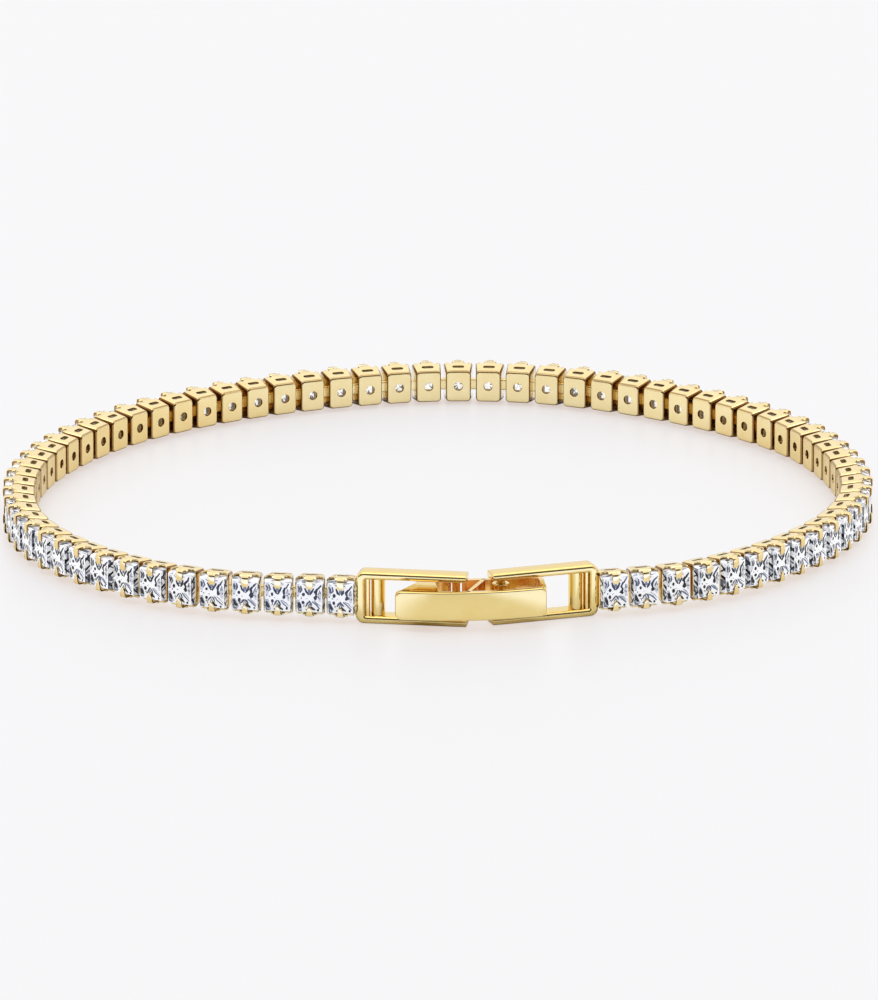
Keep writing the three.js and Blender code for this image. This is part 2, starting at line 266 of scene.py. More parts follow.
def smoothRange(tree, value, span):
    # 0 at the span's start and 1 at its end
    node = addNode(tree, "ShaderNodeMapRange", {"Value": value}, From_Min=span[0], From_Max=span[1],
                   interpolation_type="SMOOTHSTEP")
    return node.outputs["Result"]


def newMaterial(name):
    material = bpy.data.materials.new(name)
    material.use_nodes = True
    material.node_tree.nodes.clear()
    return material, material.node_tree


def goldPlate(name, colour, deep, paintedShading, roughness, waviness):
    # Yellow gold plate over brass, cast, tumbled and buffed: a mirror with a faint hand-made swim in it,
    # and painted shading mixed in where a face's attribute asks for it, in recesses, gaps, hollows and along
    # edges
    material, tree = newMaterial(name)
    where = addNode(tree, "ShaderNodeTexCoord")
    swim = addNode(tree, "ShaderNodeTexNoise", {"Vector": where.outputs["Object"]},
                   Scale=900.0, Detail=2.0)                      # about one swell a millimetre
    grain = addNode(tree, "ShaderNodeTexNoise", {"Vector": where.outputs["Object"]},
                    Scale=6000.0, Detail=3.0)                    # buffing marks, drawn coarser than real
    # painted shading: the attribute gives each face's share of the painted shade or tint colour
    paintedFaces = addNode(tree, "ShaderNodeAttribute", attribute_name="paintedShading")
    tint = mixedColour(tree, swim.outputs["Fac"], linear(deep), linear(colour))
    tone = mixedColour(tree, paintedFaces.outputs["Fac"], tint, linear(paintedShading))
    gloss = addNode(tree, "ShaderNodeMapRange", {"Value": grain.outputs["Fac"]},
                    From_Min=0.3, From_Max=0.7, To_Min=roughness * 0.7, To_Max=roughness * 1.4)
    bump = addNode(tree, "ShaderNodeBump", {"Height": swim.outputs["Fac"]},
                   Strength=waviness, Distance=0.05 * mm)
    shader = addNode(tree, "ShaderNodeBsdfPrincipled",
                     {"Base Color": tone, "Roughness": gloss.outputs["Result"],
                      "Normal": bump.outputs["Normal"]}, Metallic=1.0)
    addNode(tree, "ShaderNodeOutputMaterial", {"Surface": shader.outputs["BSDF"]})
    return material


def cutStone():
    # Cubic zirconia, cut and polished and colourless; its bright facets and the grey and black flashes
    # between them are painted reflections, from a tone on each facet
    material, tree = newMaterial("zirconia_cut_and_polished")
    tone = addNode(tree, "ShaderNodeAttribute", attribute_name="paintedReflection")
    shade = addNode(tree, "ShaderNodeValToRGB", {"Fac": tone.outputs["Fac"]})
    shade.color_ramp.elements[0].color = linear("#05060a")
    shade.color_ramp.elements[1].color = linear("#f3f5fc")
    middle = shade.color_ramp.elements.new(0.5)
    middle.color = linear("#8690a8")
    lit = addNode(tree, "ShaderNodeAttribute", attribute_name="facetGlow")
    # painted glow: emission stands in for light that came in through the table and leaves through the
    # pavilion, as the wrist holes show
    shader = addNode(tree, "ShaderNodeBsdfPrincipled",
                     {"Base Color": shade.outputs["Color"], "Emission Strength": lit.outputs["Fac"]},
                     Roughness=0.06, IOR=1.5, Emission_Color=linear("#fffdf8"))
    addNode(tree, "ShaderNodeOutputMaterial", {"Surface": shader.outputs["BSDF"]})
    return material


def paperFloor():
    # White coated paper, matt, with a weak wide sheen, and a painted glow that only the camera sees, so that
    # shadows are pale and warm.
    # What mirrors see of it is painted brighter, most of all in two painted highlights beside the clasp,
    # which mirror into its plate.
    material, tree = newMaterial("coated_paper")
    where = addNode(tree, "ShaderNodeTexCoord")
    fibre = addNode(tree, "ShaderNodeTexNoise", {"Vector": where.outputs["Object"]}, Scale=400.0)
    bump = addNode(tree, "ShaderNodeBump", {"Height": fibre.outputs["Fac"]}, Strength=0.02,
                   Distance=0.02 * mm)
    parts = addNode(tree, "ShaderNodeSeparateXYZ", {"Vector": where.outputs["Object"]})
    aside = addNode(tree, "ShaderNodeMath", {0: parts.outputs["X"]}, operation="SUBTRACT")
    aside.inputs[1].default_value = sheet["middle"]
    apart = addNode(tree, "ShaderNodeMath", {0: aside.outputs["Value"]}, operation="ABSOLUTE")
    beyond = smoothRange(tree, apart.outputs["Value"], sheet["mirrorHighlightAside"])
    ahead = smoothRange(tree, parts.outputs["Y"], sheet["mirrorHighlightAhead"])
    onMirrorHighlight = addNode(tree, "ShaderNodeMath", {0: beyond, 1: ahead}, operation="MULTIPLY")
    dimmed = smoothRange(tree, apart.outputs["Value"], sheet["aside"])
    mirrored = mixedColour(tree, dimmed, sheet["mirrored"], sheet["mirroredAside"])
    mirrored = mixedColour(tree, onMirrorHighlight.outputs["Value"], mirrored, sheet["mirrorHighlight"])
    # painted light: the glow is seen by the camera alone, and only mirrors see the brighter paper and its
    # painted highlights
    ray = addNode(tree, "ShaderNodeLightPath")
    plain = mixedColour(tree, ray.outputs["Is Camera Ray"], sheet["bounce"], sheet["seen"])
    colour = mixedColour(tree, ray.outputs["Is Glossy Ray"], plain, mirrored)
    shader = addNode(tree, "ShaderNodeBsdfPrincipled",
                     {"Base Color": colour, "Normal": bump.outputs["Normal"],
                      "Emission Strength": ray.outputs["Is Camera Ray"]},
                     Roughness=0.4, Specular_IOR_Level=0.12, Emission_Color=sheet["through"])
    addNode(tree, "ShaderNodeOutputMaterial", {"Surface": shader.outputs["BSDF"]})
    return material


def newPiece(name, points, faces, material, values=None, smoothAngle=35.0):
    # values: for each named attribute, one number a face
    mesh = bpy.data.meshes.new(name)
    mesh.from_pydata(np.asarray(points).tolist(), [], [list(map(int, f)) for f in faces])
    mesh.update()
    piece = bpy.data.objects.new(name, mesh)
    bpy.context.scene.collection.objects.link(piece)
    mesh.materials.append(material)
    for attributeName, numbers in (values or {}).items():
        attribute = mesh.attributes.new(attributeName, "FLOAT", "FACE")
        attribute.data.foreach_set("value", np.asarray(numbers, np.float32))
    mesh.polygons.foreach_set("use_smooth", np.ones(len(mesh.polygons), bool))
    mesh.set_sharp_from_angle(angle=math.radians(smoothAngle))
    return piece


def asArrays(piece):
    # A finished mesh as arrays of points and triangles, with its modifiers applied
    seen = piece.evaluated_get(bpy.context.evaluated_depsgraph_get()).to_mesh()
    form = bmesh.new()
    form.from_mesh(seen)
    bmesh.ops.remove_doubles(form, verts=form.verts, dist=0.002 * mm)
    bmesh.ops.triangulate(form, faces=form.faces)
    form.verts.index_update()
    points = np.array([corner.co for corner in form.verts])
    faces = np.array([[corner.index for corner in face.verts] for face in form.faces])
    form.free()
    return points, faces


def turned(points, turn):
    # Turns a point or a list of them about Z
    c = math.cos(turn)
    s = math.sin(turn)
    x = points[..., 0]
    y = points[..., 1]
    return np.stack([x * c - y * s, x * s + y * c, points[..., 2]], -1)


def placed(form, turn, place):
    # A form turned about Z and then moved
    return (turned(form[0], turn) + place, *form[1:])


def merged(forms):
    # Several forms as one: points, faces and one number a face, 0 where a form brings none
    points = np.concatenate([form[0] for form in forms])
    starts = np.cumsum([0] + [len(form[0]) for form in forms[:-1]])
    faces = [[int(i) + int(start) for i in face] for form, start in zip(forms, starts) for face in form[1]]
    numbers = np.concatenate([form[2] if len(form) > 2 else np.zeros(len(form[1])) for form in forms])
    return points, faces, numbers


def gridFaces(rows, columns, closeRows, closeColumns):
    # Quads between neighbouring points of a grid, which may close on itself either way
    r = np.arange(rows if closeRows else rows - 1)
    c = np.arange(columns if closeColumns else columns - 1)
    r, c = np.meshgrid(r, c, indexing="ij")
    up = (r + 1) % rows
    on = (c + 1) % columns
    quads = np.stack([r * columns + c, r * columns + on, up * columns + on, up * columns + c], -1)
    return quads.reshape(-1, 4)


def cappedFaces(rows, columns):
    # The faces around a row of rings, and one over each end
    ends = [list(range(columns - 1, -1, -1)), list(range((rows - 1) * columns, rows * columns))]
    return gridFaces(rows, columns, False, True).tolist() + ends


def columnShade(rows, columns, dark, amount):
    # One number for each capped face: the amount in the dark columns, and 0 in the rest
    column = np.tile(np.arange(columns), rows - 1)
    return np.r_[amount * np.isin(column, dark), 0.0, 0.0]


def flipped(faces):
    return [face[::-1] for face in faces]


def outlineColumns(sideSteps, arcSteps):
    # A rounded rectangle's columns: each has a corner share, -1 to 1 both ways, and a direction.
    # A point of the outline is share * (half size - corner) + corner * direction.
    shares = []
    directions = []
    signs = [(1, 1), (-1, 1), (-1, -1), (1, -1)]
    for quarter in range(4):
        angle = np.pi / 2 * (quarter + np.linspace(0, 1, arcSteps + 1))
        sign = np.array(signs[quarter], float)
        following = np.array(signs[(quarter + 1) % 4], float)
        shares.append(np.repeat(sign[None], arcSteps + 1, 0))
        directions.append(np.stack([np.cos(angle), np.sin(angle)], -1))
        along = np.linspace(0, 1, sideSteps + 1)[1:-1, None]
        shares.append(sign * (1 - along) + following * along)
        directions.append(np.repeat(directions[-1][-1:], sideSteps - 1, 0))
    return np.concatenate(shares), np.concatenate(directions)


def outlineAt(columns, halfWidth, halfHeight, corner):
    shares, directions = columns
    half = np.stack(np.broadcast_arrays(halfWidth, halfHeight), -1)
    return shares * (half - corner) + corner * directions


def boxySection(sides, power):
    # A circle pushed out towards a square, more so the lower the power
    angle = np.linspace(0, 2 * np.pi, sides, endpoint=False) + np.pi / sides
    section = np.stack([np.cos(angle), np.sin(angle)], -1)
    return np.sign(section) * np.abs(section) ** power


def planForm(outline, low, high, paintedFaces=()):
    # A plan outline, anticlockwise, made a body between two heights; the last argument lists the sides in a
    # recess, which get painted shading
    outline = np.asarray(outline)
    many = len(outline)
    points = np.concatenate([np.c_[outline, np.full(many, low)], np.c_[outline, np.full(many, high)]])
    faces = cappedFaces(2, many)
    return points, faces, 1.0 * np.isin(np.arange(len(faces)), paintedFaces)


def smoothStep(x, start, width):
    # 0 up to the start, 1 a width further on
    u = np.clip((x - start) / width, 0, 1)
    return u * u * (3 - 2 * u)


def rimReach(columns):
    # How far the rim reaches outwards, column by column: a tongue that carries the prong, a scallop
    # to each side of it, a claw at each corner and a low wall along the stone's two sides
    shares, directions = columns
    across = np.abs(shares[:, 0]) * (setting["width"] / 2 - setting["corner"])
    onEnd = np.abs(directions[:, 1]) ** 2
    scallop = np.where(directions[:, 1] < 0, setting["lowScallop"], setting["scallop"])
    end = setting["tongue"] + (scallop - setting["tongue"]) * smoothStep(across, *setting["tongueEdge"])
    end = end + (setting["cornerReach"] - scallop) * smoothStep(across, *setting["clawEdge"])
    toCorner = smoothStep(np.abs(shares[:, 1]), *setting["sideEdge"])
    side = setting["sideReach"] + (setting["cornerReach"] - setting["sideReach"]) * toCorner
    return end * onEnd + side * (1 - onEnd)


def settingForm():
    # Rings of one rounded outline, from the wrist hole over the back and the walls to the rim, then
    # in over the rim and back down inside to the hole again, so that the grid closes both ways
    columns = outlineColumns(10, 4)
    reach = rimReach(columns)
    back = setting["back"]
    edge = setting["edge"]
    lip = setting["lip"]
    strip = setting["edgeStrip"]
    lastFlare = back + setting["flareEnd"]
    slope = (setting["rimHeight"] - setting["backHeight"]) / 2 / lastFlare

    def ring(inset, y, wall=0.0):
        y = np.broadcast_to(y, reach.shape)
        flare = setting["sideFlare"] * (back - y) / lastFlare
        side = setting["width"] / 2 + flare - inset - wall * setting["sideWall"]
        halfHeight = setting["backHeight"] / 2 + np.minimum(back - y, lastFlare) * slope
        end = halfHeight - inset - wall * setting["endWall"]
        corner = np.maximum(setting["corner"] - inset - wall * setting["sideWall"], setting["innerCorner"])
        flat = outlineAt(columns, side, end, corner)
        return np.stack([flat[:, 0], y, flat[:, 1]], -1)

    def circle(radius, y):
        flat = ring(0, back)
        angle = np.arctan2(flat[:, 2], flat[:, 0])
        return np.stack([radius * np.cos(angle), np.full(len(angle), y), radius * np.sin(angle)], -1)

    inside = back - setting["floorThickness"]
    hole = setting["hole"] / 2
    edgeWidth, edgeDepth = setting["holeEdge"]
    rings = [circle(hole, inside), circle(hole, back - edgeDepth), circle(hole + edgeWidth, back)]
    rings.append(0.5 * rings[-1] + 0.5 * ring(edge, back))
    rings.append(ring(edge + strip, back))
    for angle in np.radians([0, 30, 60, 90]):
        rings.append(ring(edge * (1 - np.sin(angle)), back - edge * (1 - np.cos(angle))))
    rings.append(ring(0, back - edge - strip))
    for share in (0.35, 0.7):
        rings.append(ring(0, (back - edge) * (1 - share) + (lip - reach) * share))
    rings.append(ring(0, lip - reach))
    for angle in np.radians([45, 90]):
        rings.append(ring(lip * (1 - np.cos(angle)), lip * (1 - np.sin(angle)) - reach))
    rings.append(ring(-lip * 0.4, lip * 0.3 - reach, 1.0))
    rings.append(ring(0, lip - reach, 1.0))
    rings.append(ring(0, (lip - reach) * 0.5 + inside * 0.5, 1.0))
    rings.append(ring(0, inside, 1.0))
    grid = np.stack(rings)
    return grid.reshape(-1, 3), gridFaces(len(rings), len(reach), True, True)[:, ::-1]


def slotCutter():
    # Two blocks with round ends, one through the upper wall and one through the lower
    low, high = setting["slotCut"]
    plan = outlineAt(outlineColumns(1, 3), setting["slotLong"] / 2, setting["slotDeep"] / 2,
                     setting["slotCorner"])
    return merged([planForm(plan, low, high), planForm(plan, -high, -low)])[:2]


def paintedShadeOf(points, triangles):
    # How much painted shade each face of the setting shows, by where all three of its corners lie
    corners = points[triangles]
    x = np.abs(corners[..., 0])
    y = corners[..., 1]
    z = np.abs(corners[..., 2])
    radius = np.hypot(x, z)
    hair = 0.006 * mm
    margin = 0.1 * mm
    deep = -0.4 * mm
    hole = setting["hole"] / 2
    backEdge = setting["back"] - setting["edge"]
    boxFloor = setting["back"] - setting["floorThickness"]
    run = (setting["back"] - y) / (setting["back"] + setting["flareEnd"])
    high = setting["backHeight"] / 2 + run * (setting["rimHeight"] - setting["backHeight"]) / 2
    wide = setting["width"] / 2 + run * setting["sideFlare"]
    inBox = (x < wide - setting["sideWall"] + hair) & (z < high - setting["endWall"] + hair)
    inSlot = (x < setting["slotLong"] / 2 + hair) & (np.abs(y) < setting["slotDeep"] / 2 + hair)
    onSide = (x > wide - hair) & (y < backEdge + hair)
    onCorner = (x > wide - margin) & (z > high - setting["corner"] - hair) & (y < backEdge + hair)
    onEdge = (y > backEdge - hair) & (y < backEdge + 0.9 * setting["edge"]) & (radius > hole + margin)
    where = {
        "hole": (radius < hole + setting["holeEdge"][1]) & (y > boxFloor - hair),
        "slot": inSlot & (z > setting["slotCut"][0]),
        "box": inBox & (y < boxFloor + hair),
        "side": onSide,
        "deepSide": onSide & (y > deep),
        "corner": onCorner,
        "edge": onEdge,
        "underEdge": onEdge & (corners[..., 2] < setting["edge"] - setting["backHeight"] / 2),
    }
    return np.max([paintedShadeShare[name] * there.all(1) for name, there in where.items()], 0)


def prongStrip(side):
    # A flat strip that leaves the tongue and bends in over the stone; its two edges get painted shade
    reach, below, upper, lower, thick = prongStations.T
    y = -reach * mm
    y[-1] += prong["tuck"] if side > 0 else 0.0
    path = np.stack([y, setting["rimHeight"] / 2 - below * mm], -1)
    along = np.gradient(path, axis=0)
    along /= np.linalg.norm(along, axis=1)[:, None]
    out = np.stack([-along[:, 1], along[:, 0]], -1)
    section = boxySection(10, 0.45)
    x = prong["width"] / 2 * (upper if side > 0 else lower)[:, None] * section[:, 0]
    lift = prong["thickness"] / 2 * thick[:, None] * section[:, 1]
    grid = np.stack([x, path[:, :1] + lift * out[:, :1], path[:, 1:] + lift * out[:, 1:]], -1)
    shade = columnShade(len(path), 10, (4, 9), paintedShadeShare["prongEdge"])
    return grid.reshape(-1, 3), cappedFaces(len(path), 10), shade


def prongCrossbar():
    # The bar across the prong's root, a little thinner at its ends; its underside gets painted shade
    section = boxySection(8, 0.7)
    half = prong["crossbar"] / 2
    ends = np.array([-half, -half + prong["barEnd"], half - prong["barEnd"], half])
    full = np.array([0.6, 1.0, 1.0, 0.6])[:, None] / 2
    y = -prong["barAt"] + prong["barDeep"] * full * section[:, 0]
    z = (setting["rimHeight"] - prong["barHigh"]) / 2 + prong["barHigh"] * full * section[:, 1]
    grid = np.stack([np.broadcast_to(ends[:, None], y.shape), y, z], -1)
    shade = columnShade(4, 8, (4, 5, 6), paintedShadeShare["underBar"])
    return grid.reshape(-1, 3), cappedFaces(4, 8), shade


def prongForm(side):
    # The prong above the stone, 1, or the one below it, -1
    points, faces, shade = merged([prongStrip(side), prongCrossbar()])
    if side < 0:
        points = points * (1, 1, -1)
        faces = flipped(faces)
    return points, faces, shade


# Painted reflections: the flashes seen in a stone's table, charted on its face from -1 to 1 across and up:
# strokes of a tone and a width along a line, and dots of a tone and a size
strokes = [
    (0.80, 0.30, [(-0.8, 0.95), (-0.82, 0.5), (-0.88, 0.1)]),
    (0.72, 0.34, [(-0.9, -0.2), (-0.82, -0.6), (-0.6, -0.92)]),
    (0.80, 0.26, [(0.84, 0.5), (0.78, 0.1), (0.84, -0.3)]),
    (0.76, 0.22, [(-0.3, 0.95), (0.0, 0.86), (0.3, 0.95)]),
    (0.52, 0.26, [(0.0, 0.62), (0.0, 0.34)]),
    (0.04, 0.15, [(-0.36, 0.66), (-0.22, 0.42), (-0.03, 0.2)]),
    (0.04, 0.15, [(0.33, 0.64), (0.2, 0.4), (0.03, 0.18)]),
    (0.16, 0.12, [(-0.3, -0.58), (-0.16, -0.4), (-0.02, -0.24)]),
    (0.16, 0.12, [(0.02, -0.24), (0.14, -0.4), (0.24, -0.56)]),
    (0.45, 0.12, [(-0.1, -0.6), (0.0, -0.42), (0.1, -0.6)]),
    (0.50, 0.12, [(0.2, -0.26), (0.5, -0.46), (0.86, -0.76)]),
    (0.60, 0.06, [(0.36, -0.22), (0.6, -0.36), (0.88, -0.6)]),
    (0.06, 0.14, [(0.12, -0.58), (0.24, -0.76), (0.44, -0.88)]),
    (0.08, 0.13, [(0.9, 0.9), (0.7, 0.66), (0.54, 0.52)]),
    (0.02, 0.20, [(0.6, 0.62), (0.46, 0.38), (0.54, 0.16)]),
    (0.01, 0.25, [(0.54, 0.16), (0.46, 0.0), (0.54, -0.14)]),
    (0.25, 0.08, [(0.84, 0.56), (0.74, 0.34), (0.72, 0.2)]),
    (0.14, 0.15, [(-0.92, 0.78), (-0.78, 0.6), (-0.84, 0.36)]),
    (0.22, 0.13, [(-0.66, 0.8), (-0.6, 0.52), (-0.72, 0.34)]),
    (0.03, 0.24, [(-0.86, -0.34), (-0.78, -0.58), (-0.62, -0.76)]),
    (0.35, 0.12, [(-0.94, -0.6), (-0.86, -0.9), (-0.6, -0.94)]),
    (0.12, 0.07, [(-0.5, -0.62), (-0.4, -0.48), (-0.34, -0.7)]),
    (0.55, 0.05, [(-0.3, -0.1), (-0.16, -0.08)]),
    (0.60, 0.06, [(0.2, 0.9), (0.44, 0.86)]),
    (0.60, 0.06, [(-0.5, 0.92), (-0.3, 0.84)]),
]
dots = [
    (0.0, 0.13, (-0.47, 0.2)), (0.0, 0.14, (-0.45, -0.3)), (0.35, 0.06, (-0.66, -0.04)),
    (0.30, 0.06, (0.72, 0.04)), (0.50, 0.06, (0.88, -0.02)), (0.05, 0.09, (0.7, -0.86)),
    (0.20, 0.06, (-0.1, -0.86)), (0.30, 0.05, (0.06, -0.82)), (0.40, 0.06, (-0.88, 0.06)),
    (0.25, 0.06, (0.86, 0.3)), (0.45, 0.07, (-0.24, -0.86)),
]
# Painted reflections for the crown's two sides: strokes from the girdle, 0, to the table, 1, and from -1 to
# 1 up
sideStrokes = [
    (0.04, 0.20, [(0.0, 0.80), (1.0, 0.52)]),
    (0.15, 0.13, [(0.0, 0.36), (1.0, 0.66)]),
    (0.02, 0.22, [(0.1, 0.12), (1.0, -0.10)]),
    (0.40, 0.12, [(0.0, -0.16), (0.9, -0.36)]),
    (0.05, 0.18, [(0.2, -0.84), (1.0, -0.56)]),
    (0.20, 0.12, [(0.0, -0.52), (0.8, -0.78)]),
]


def glowOf(tones):
    # Painted glow: only the brightest facets get emission
    return stone["glow"] * np.clip((tones - stone["glowFrom"]) / (1 - stone["glowFrom"]), 0, 1)


def stoneForm():
    # A princess cut: pavilion down to a short keel, girdle, and crown in two steps of facets, all one skin;
    # each facet gets a painted reflection tone, most at random, and a painted glow; below the girdle only
    # the facets seen through the wrist hole glow brightly
    start = np.array([-1, -0.45, 0.1, 0.6])     # where a side's four facets start along it
    side = np.c_[start, np.full(4, -1.0), np.zeros(4)]
    square = np.concatenate([turned(side, k * np.pi / 2)[:, :2] for k in range(4)])
    t = stone["tableShare"]
    girdle = stone["girdleFront"]
    step = girdle + stone["crownStep"] * (stone["table"] - girdle)
    rings = [  # size as a share of the girdle's, and y
        (0.06, stone["culet"]), (0.33, 0.10 * mm), (0.78, -0.3 * mm), (1.0, -stone["girdleBack"]),
        (1.0, -girdle), (0.5 + 0.5 * t, -step), (t, -stone["table"]),
    ]
    half = np.array([stone["width"], stone["height"]]) / 2
    points = np.concatenate([np.insert(square * share * half, 1, y, 1) for share, y in rings])
    faces = gridFaces(len(rings), len(square), False, True)
    triangles = np.concatenate([faces[:, :3], faces[:, [0, 2, 3]]])
    depth = points[triangles][:, :, 1]
    tones = rng.choice([0.35, 0.6, 0.85, 1.0, 1.0, 1.0], len(triangles))
    seen = depth.min(1) > 0
    onCrown = depth.max(1) < -girdle + 0.001 * mm
    glows = np.where(onCrown, glowOf(tones), 0.12)
    glows = np.where(seen, rng.choice([0.95, 0.85, 0.8, 0.15], len(triangles)), glows)
    tones = np.where(seen, np.where(glows > 0.5, 1.0, 0.3), tones)
    culet = list(range(len(square) - 1, -1, -1))
    return points, triangles.tolist() + [culet], np.r_[tones, 1.0], np.r_[glows, 0.9]


def strokeShapes(chart):
    # Each stroke's line, widened to both sides and most in the middle, as one flat shape a stretch
    shapes = []
    for tone, width, line in chart:
        line = np.array(line) + rng.normal(0, stone["strokeDrift"], (len(line), 2))
        along = np.gradient(line, axis=0)
        side = np.stack([-along[:, 1], along[:, 0]], -1) / np.linalg.norm(along, axis=1)[:, None]
        swell = width / 2 * rng.uniform(0.7, 1.25, len(line)) * np.where(np.arange(len(line)) == 1, 1.2, 0.7)
        left = line + side * swell[:, None]
        right = line - side * swell[:, None]
        for k in range(len(line) - 1):
            shapes.append((tone, [right[k], right[k + 1], left[k + 1], left[k]]))
    return shapes


def flashForm(shapes, place, facing):
    # Charted shapes as facets of the stone, each a little above the last, put there by place
    points = []
    faces = []
    count = 0
    for k, (_, shape) in enumerate(shapes):
        corners = place(np.array(shape), stone["stack"] * k)
        order = list(range(count, count + len(corners)))
        normal = np.cross(corners, np.roll(corners, -1, axis=0)).sum(0)
        points.append(corners)
        faces.append(order if normal @ facing > 0 else order[::-1])
        count += len(corners)
    return np.concatenate(points), faces, np.array([tone for tone, _ in shapes])


def tableForm():
    # The table's painted white ground and, a hair above it, each charted flash, all painted reflections; no
    # two stones have quite the same
    half = np.array([stone["width"], stone["height"]]) / 2 * stone["tableShare"]

    def onTable(shape, lift):
        # only the ground, which comes first, has no lift and lies in the table itself
        above = stone["table"] + (stone["hair"] / 4 + lift if lift else 0.0)
        return np.insert(np.clip(shape, -1, 1) * half, 1, -above, 1)

    shapes = [(1.0, [(-1, -1), (1, -1), (1, 1), (-1, 1)])] + strokeShapes(strokes)
    angle = np.linspace(0, 2 * np.pi, 6, endpoint=False)
    for tone, radius, at in dots:
        at = np.array(at) + rng.normal(0, stone["dotDrift"], 2)
        size = radius * rng.uniform(0.8, 1.2, 2)
        shapes.append((tone, at + size * np.stack([np.cos(angle), np.sin(angle)], -1)))
    return flashForm(shapes, onTable, (0, -1, 0))


def crownSideForm(side):
    # The painted reflections on the crown's left side, -1, or right side, 1
    crown = stone["table"] - stone["girdleFront"]

    def onSide(shape, lift):
        run = np.clip(shape[:, 0], 0, 1)
        share = 1 - (1 - stone["tableShare"]) * run
        x = side * (stone["width"] / 2 * share + stone["hair"] + lift)
        z = np.clip(shape[:, 1], -1, 1) * stone["height"] / 2 * share
        return np.stack([x, -stone["girdleFront"] - crown * run, z], -1)

    return flashForm(strokeShapes(sideStrokes), onSide, (side, 0, 0))


def wholeStone():
    # A stone's skin, its table and its crown's flashes, each with its painted reflection tones and its
    # painted glows
    forms = [stoneForm()]
    for points, faces, tones in (tableForm(), crownSideForm(-1), crownSideForm(1)):
        forms.append((points, faces, tones, glowOf(tones)))
    return forms


def routePoint(t):
    # Catmull-Rom through the route's points with centripetal spacing, for shares t of the whole
    half = np.array([loop["width"], loop["depth"]]) / 2
    knots = route * half
    knots = np.vstack([2 * knots[0] - knots[1], knots, 2 * knots[-1] - knots[-2]])
    place = t * (len(route) - 1)
    index = np.minimum(place.astype(int), len(route) - 2)
    u = (place - index)[:, None]
    p0, p1, p2, p3 = (knots[index + k] for k in range(4))
    d0, d1, d2 = (np.sqrt(np.linalg.norm(b - a, axis=1))[:, None] for a, b in ((p0, p1), (p1, p2), (p2, p3)))
    m1 = ((p1 - p0) / d0 - (p2 - p0) / (d0 + d1) + (p2 - p1) / d1) * d1
    m2 = ((p2 - p1) / d1 - (p3 - p1) / (d1 + d2) + (p3 - p2) / d2) * d1
    return p1 + m1 * u + (3 * (p2 - p1) - 2 * m1 - m2) * u ** 2 + (2 * (p1 - p2) + m1 + m2) * u ** 3


def linkPlaces():
    # The joints lie evenly along the route, and a link sits half way between two of them
    t = np.linspace(0, 1, 2001)
    run = np.r_[0, np.cumsum(np.linalg.norm(np.diff(routePoint(t), axis=0), axis=1))]
    count = int(round(run[-1] / loop["pitch"]))
    joints = routePoint(np.interp(np.linspace(0, run[-1], count + 1), run, t))
    step = np.diff(joints, axis=0)
    middle = (joints[1:] + joints[:-1]) / 2
    height = setting["rimHeight"] / 2 + loop["rise"] * (0.5 - middle[:, 1] / loop["depth"])
    places = np.c_[middle, height] + np.array([*loop["shift"], 0])
    return places, np.arctan2(step[:, 1], step[:, 0])


def beside(place, turn, along, inwards=0.0):
    # A point beside a link: along the chain and towards the wrist
    return place + turned(np.array([along, inwards, 0.0]), turn)


def barForms(fromPoints, toPoints):
    # A rounded strip between each pair of points
    flat = outlineAt(outlineColumns(1, 3), bar["depth"] / 2, bar["height"] / 2, bar["corner"])
    faces = cappedFaces(2, len(flat))
    forms = []
    for start, end in zip(fromPoints, toPoints):
        run = end - start
        points = np.concatenate([np.insert(flat, 0, x, 1) for x in (0.0, np.hypot(run[0], run[1]))])
        forms.append(placed((points, faces), math.atan2(run[1], run[0]), start))
    return forms


def cutSetting(gold):
    # The setting with its slots cut, as points, triangles and their shares of painted shade
    template = newPiece("setting_form", *settingForm(), gold)
    cutter = newPiece("slot_form", *slotCutter(), gold)
    cut = template.modifiers.new("slots", "BOOLEAN")
    cut.object = cutter
    cut.operation = "DIFFERENCE"
    cut.solver = "EXACT"
    bpy.context.view_layer.update()
    points, faces = asArrays(template)
    bpy.data.objects.remove(template)
    bpy.data.objects.remove(cutter)
    print("setting: faces", len(faces))
    return points, faces, paintedShadeOf(points, faces)


def makeLinks(name, gold, box, where, turn, reaches):
    # The settings, prongs and bars of a row; reaches are those of the bars at its two ends
    many = len(where)
    forms = []
    for form in (box, prongForm(1), prongForm(-1)):
        forms += [placed(form, turn[i], where[i]) for i in range(many)]
    seat = setting["width"] / 2 - bar["seat"]
    starts = [beside(where[0], turn[0], -reaches[0])]
    starts += [beside(where[i], turn[i], seat) for i in range(many)]
    ends = [beside(where[i], turn[i], -seat) for i in range(many)]
    ends.append(beside(where[-1], turn[-1], reaches[1]))
    points, faces, shade = merged(forms + barForms(starts, ends))
    links = newPiece("links_" + name, points, faces, gold, {"paintedShading": shade})
    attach(links, "bracelet")
    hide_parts("link_row_" + name)
    print("row", name, "links", many, "faces", len(faces))


def makeStones(name, crystal, where, turn):
    forms = []
    for i in range(len(where)):
        forms += [placed(form, turn[i], where[i]) for form in wholeStone()]
    points, faces, tones = merged(forms)
    values = {"paintedReflection": tones, "facetGlow": np.concatenate([form[3] for form in forms])}
    stones = newPiece("stones_" + name, points, faces, crystal, values, 1.0)
    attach(stones, "bracelet")
    print("row", name, "stones", len(where), "faces", len(faces))


def makeChain(gold, crystal, places, turns):
    # The right row runs from the clasp to the back and the left row on from there, with a gap between
    box = cutSetting(gold)
    half = len(places) // 2
    free = setting["width"] / 2 + bar["clear"]
    midway = (loop["pitch"] - bar["clear"]) / 2
    rows = (("right", slice(0, half), (free, midway)), ("left", slice(half, None), (midway, free)))
    for name, part, reaches in rows:
        makeLinks(name, gold, box, places[part], turns[part], reaches)
        makeStones(name, crystal, places[part], turns[part])


